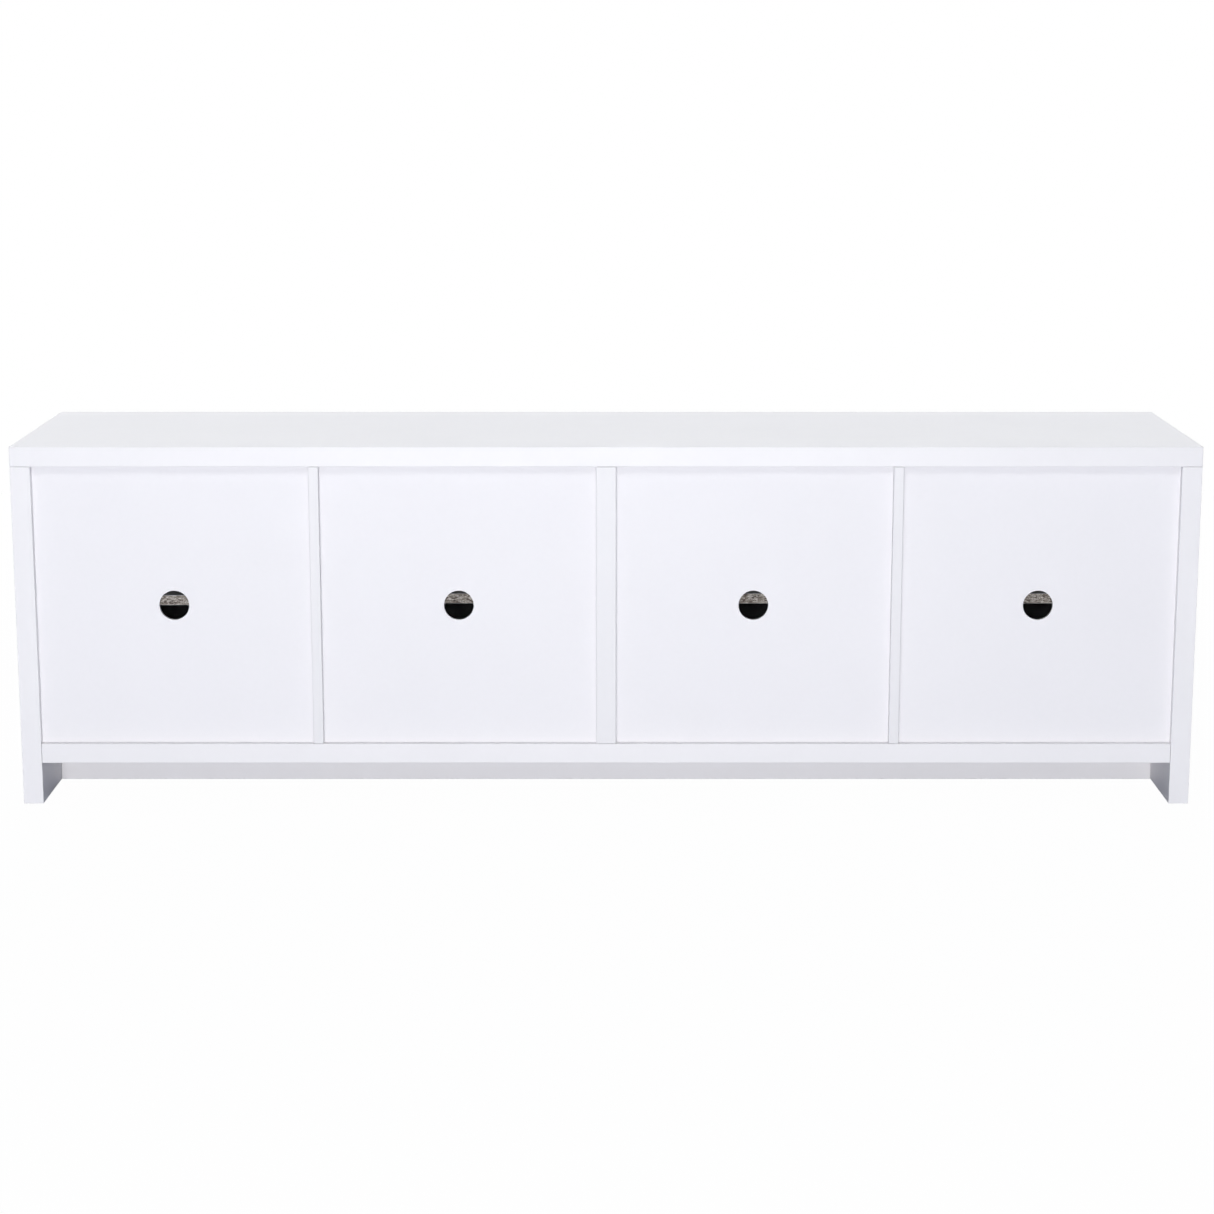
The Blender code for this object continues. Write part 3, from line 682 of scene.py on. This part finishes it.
cup_pin = add_cylinder("cup_pin_master", CUP_PIN_RADIUS, (0, 0, -CUP_PIN_HALF), (0, 0, CUP_PIN_HALF), 24)
leave_edit()
round_edges(cup_pin, CUP_PIN_ROUND)
bpy.ops.object.select_all(action="DESELECT")
bpy.ops.mesh.primitive_circle_add(vertices=8, radius=SPRING_WIRE, fill_type="NOTHING",
                                  rotation=(math.pi / 2, 0, 0),
                                  location=(SPRING_RADIUS, 0, ARM_HALF_HEIGHT + SPRING_GAP))
spring = edit_new("spring_master")
bpy.ops.object.mode_set(mode="OBJECT")
coil = spring.modifiers.new("coil", "SCREW")
coil.screw_offset = SPRING_LENGTH / SPRING_TURNS
coil.iterations = SPRING_TURNS
coil.steps = coil.render_steps = 20
bpy.ops.object.modifier_apply(modifier="coil")
bpy.ops.object.mode_set(mode="EDIT")
bpy.ops.mesh.select_mode(type="EDGE")
bpy.ops.mesh.select_non_manifold()
bpy.ops.mesh.edge_face_add()
bpy.ops.mesh.select_all(action="SELECT")
bpy.ops.mesh.normals_make_consistent(inside=False)
leave_edit(50)
springs = joined("spring_pair_master", [spring, twin_of(spring, "spring", Matrix.Rotation(math.pi, 4, "X"))])
onto_y = Matrix.Rotation(-math.pi / 2, 4, "X")
ear_screws = joined("ear_screws_master", [
    twin_of(plate_screw, "screw", Matrix.Translation((EAR_SCREW[0], CUP_EAR_Y[1], z)) @ onto_y)
    for z in (-EAR_SCREW[1], EAR_SCREW[1])
])

spring_steel = plated_steel("spring_steel", (0.50, 0.49, 0.48), 0.30)
for body, number, end, move in hinges:
    settle(twin_of(cup, f"drawn_cup_{number}_{end}", move), plating, body, "hinge_steel",
           f"hinge_cup_{number}_{end}")
    settle(twin_of(cup_pin, f"cup_pin_{number}_{end}", move), plating, body, "hinge_steel")
    settle(twin_of(springs, f"closing_springs_{number}_{end}", move), spring_steel, body, "hinge_steel")
    settle(twin_of(ear_screws, f"cup_screws_{number}_{end}", move), plating, body, "hinge_steel")
for master in (cup, cup_pin, springs, ear_screws, adjuster):
    bpy.data.objects.remove(master)

# ------------------------------------------------------------------ handles
# Solid metal pulls, 160 mm long, bent into a flat D and plated in brushed nickel. Two machine screws
# through the door hold each of them, with their heads on the door's back.

HANDLE_BAR = 0.007
HANDLE_LEG = 0.009
HANDLE_OUTER_ROUND = 0.006
HANDLE_INNER_ROUND = 0.003
HANDLE_EDGE_ROUND = 0.0012
HANDLE_SCREW_RADIUS = 0.0040
HANDLE_SCREW_HEIGHT = 0.0018
HANDLE_SCREW_DOME = 0.0005


def brushed_nickel():
    """Nickel brushed along the bar: long fine strokes in tone, gloss and height."""
    finish, shader, place = begin_finish("brushed_nickel", 0.3, 1.0)
    strokes = place.node("Mapping", {}, {"Vector": place, "Scale": (2600.0, 2600.0, 40.0)}).noise(1.0, 3.0)
    strokes.mixed((0.66, 0.64, 0.61, 1), (0.56, 0.54, 0.51, 1)).into(shader, "Base Color")
    (strokes.spread(0.24, 0.38) + place.noise(60.0) * 0.06).into(shader, "Roughness")
    place.node("Bump", {}, {"Strength": 0.2, "Distance": 0.0001, "Height": strokes}).into(shader, "Normal")
    return finish


def make_handle(node, name):
    low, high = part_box(node)
    handle = add_box(name, low, high)
    leave_edit()
    gap = add_box("finger_gap", (low.x - 0.01, low.y + HANDLE_BAR, low.z + HANDLE_LEG),
                  (high.x + 0.01, high.y + 0.01, high.z - HANDLE_LEG))
    leave_edit()
    use_tool(handle, gap, "DIFFERENCE")
    bpy.ops.object.select_all(action="DESELECT")
    handle.select_set(True)
    bpy.ops.object.mode_set(mode="EDIT")

    def across(edge):
        return abs(edge.verts[0].co.x - edge.verts[1].co.x) > (high.x - low.x) / 2

    pick(handle, "EDGE", lambda edge: across(edge) and middle_of(edge).y < low.y + 0.001)
    bpy.ops.mesh.bevel(offset=HANDLE_OUTER_ROUND, segments=10, affect="EDGES")
    pick(handle, "EDGE", lambda edge: across(edge) and abs(middle_of(edge).y - low.y - HANDLE_BAR) < 0.0005)
    bpy.ops.mesh.bevel(offset=HANDLE_INNER_ROUND, segments=6, affect="EDGES")
    bpy.ops.object.mode_set(mode="OBJECT")
    round_edges(handle, HANDLE_EDGE_ROUND, 4, 60)
    return handle


nickel = brushed_nickel()
handle_screw = make_screw("handle_screw_master", HANDLE_SCREW_RADIUS, HANDLE_SCREW_HEIGHT,
                          HANDLE_SCREW_DOME)
for number in "1234":
    body = f"door_{number}"
    handle = make_handle(f"handle_{number}", f"bar_pull_{number}")
    settle(handle, nickel, body, "handle_metal", f"handle_{number}")
    low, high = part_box(f"handle_{number}")
    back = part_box(body)[1].y
    heads = [twin_of(handle_screw, "screw", Matrix.Translation(((low.x + high.x) / 2, back, z)) @ onto_y)
             for z in (low.z + HANDLE_LEG / 2, high.z - HANDLE_LEG / 2)]
    settle(joined(f"handle_screws_{number}", heads), plating, body, "hinge_steel")
for master in (handle_screw, plate_screw):
    bpy.data.objects.remove(master)

# ------------------------------------------------------------------ door bumpers
# Clear domes of soft silicone, one to a door, moulded with a flat back that is stuck to the front edge
# of a quarter divider. The doors close against them.


def clear_silicone():
    finish, shader, place = begin_finish("clear_silicone", 0.22)
    place.noise(400.0).mixed((0.70, 0.72, 0.72, 1), (0.80, 0.82, 0.82, 1)).into(shader, "Base Color")
    place.noise(900.0).spread(0.16, 0.30).into(shader, "Roughness")
    shader.inputs["Subsurface Weight"].default_value = 0.3
    shader.inputs["Subsurface Scale"].default_value = 0.002
    return finish


DOME_BASE = 0.35  # share of a bumper's height below its dome

silicone = clear_silicone()
for number in "1234":
    node = f"door_bumper_{number}"
    low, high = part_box(node)
    radius, tall = (high.x - low.x) / 2, high.y - low.y
    x, z = (low.x + high.x) / 2, (low.z + high.z) / 2
    dome = [(x, high.y, z), (x + radius, high.y, z), (x + radius, high.y - tall * DOME_BASE, z)]
    for step in range(1, 7):
        angle = math.radians(15 * step)
        rise = DOME_BASE + (1 - DOME_BASE) * math.sin(angle)
        dome.append((x + radius * math.cos(angle), high.y - tall * rise, z))
    bumper = spun(f"silicone_dome_{number}", dome, (x, 0, z), (0, 1, 0), 32)
    leave_edit()
    settle(bumper, silicone, "carcass", "bumper_silicone", node)

# ------------------------------------------------------------------ studio
# A floor and a surround that look white to the camera, but light the stand as a bluish grey floor and a
# dim room would. A soft key light stands low behind it, with weaker ones above it, in front of the doors
# and at the two ends. The camera looks at its back from a little above.

FLOOR_REACH = 40.0
FLOOR_DROP = 0.0004
FLOOR_TONE = (0.46, 0.49, 0.57)
FLOOR_GLOW = 0.985  # share of plain white in what the camera sees of the floor near the stand
FADE = (1.2, 3.2)  # metres from the middle, where the floor turns into plain white
CAMERA_PLACE = (-0.0014, 4.267, 1.135)
CAMERA_PITCH = 11.55
CAMERA_LENS = 81.4
LIGHTS = (  # name, place, aim, width and height, watts
    ("key_behind", (0.30, 8.0, 0.72), (0, 0, 0.3), (2.4, 0.8), 372.0),
    ("high_behind", (0.4, 3.0, 3.4), (0, 0, 0.3), (2.4, 1.2), 40.0),
    ("high_front", (0.2, -4.2, 3.2), (0, 0, 0.3), (6.0, 2.2), 165.0),
    ("low_front", (0.3, -6.0, 0.55), (0, 0, 0.3), (7.0, 0.6), 110.0),
    ("right_end", (4.2, -0.4, 1.8), (0, 0, 0.3), (1.6, 1.6), 40.0),
    ("left_end", (-4.2, -0.4, 1.8), (0, 0, 0.3), (1.6, 1.6), 34.0),
)
SURROUND_LIGHT = 0.23  # strength of the white surround as a light
SURROUND_TINT = (0.86, 0.94, 1.04, 1)

bpy.ops.object.select_all(action="DESELECT")
bpy.ops.mesh.primitive_circle_add(vertices=96, radius=FLOOR_REACH, fill_type="NGON",
                                  location=(0, 0, -FLOOR_DROP))
floor = bpy.context.object
floor.name = "studio_floor"
ground, shader, place = begin_finish("pale_floor", 0.6)
shader.inputs["Specular IOR Level"].default_value = 0.2
worn_tone = tuple(0.985 * part for part in FLOOR_TONE)
place.noise(3.0).mixed((*FLOOR_TONE, 1), (*worn_tone, 1)).into(shader, "Base Color")
tree = ground.node_tree
away = place.node("VectorMath", {"operation": "LENGTH"}, {0: place}, 1)
fade = away.node("MapRange", {"interpolation_type": "SMOOTHSTEP"},
                 {0: away, 1: FADE[0], 2: FADE[1], 3: FLOOR_GLOW, 4: 1.0})
seen = Reading(tree.nodes.new("ShaderNodeLightPath").outputs["Is Camera Ray"])
glow = tree.nodes.new("ShaderNodeEmission")
mix = tree.nodes.new("ShaderNodeMixShader")
tree.links.new((fade * seen).socket, mix.inputs[0])
tree.links.new(shader.outputs[0], mix.inputs[1])
tree.links.new(glow.outputs[0], mix.inputs[2])
tree.links.new(mix.outputs[0], tree.nodes["Material Output"].inputs["Surface"])
floor.data.materials.append(ground)

world = bpy.data.worlds.new("white_surround")
bpy.context.scene.world = world
world.use_nodes = True
background = world.node_tree.nodes["Background"]
seen = Reading(world.node_tree.nodes.new("ShaderNodeLightPath").outputs["Is Camera Ray"])
seen.spread(SURROUND_LIGHT, 1.0).into(background, "Strength")
seen.mixed(SURROUND_TINT, (1, 1, 1, 1)).into(background, "Color")

for name, place, aim, size, watts in LIGHTS:
    lamp = bpy.data.lights.new(name, "AREA")
    lamp.shape = "RECTANGLE"
    lamp.size, lamp.size_y = size
    lamp.energy = watts
    stand = bpy.data.objects.new(name, lamp)
    bpy.context.scene.collection.objects.link(stand)
    stand.location = place
    stand.rotation_euler = (Vector(aim) - Vector(place)).to_track_quat("-Z", "Y").to_euler()

camera = bpy.data.objects.new("camera", bpy.data.cameras.new("camera"))
bpy.context.scene.collection.objects.link(camera)
camera.location = CAMERA_PLACE
camera.rotation_euler = (math.radians(90 - CAMERA_PITCH), 0, math.pi)
camera.data.lens = CAMERA_LENS
bpy.context.scene.camera = camera
bpy.context.scene.view_settings.view_transform = "Standard"
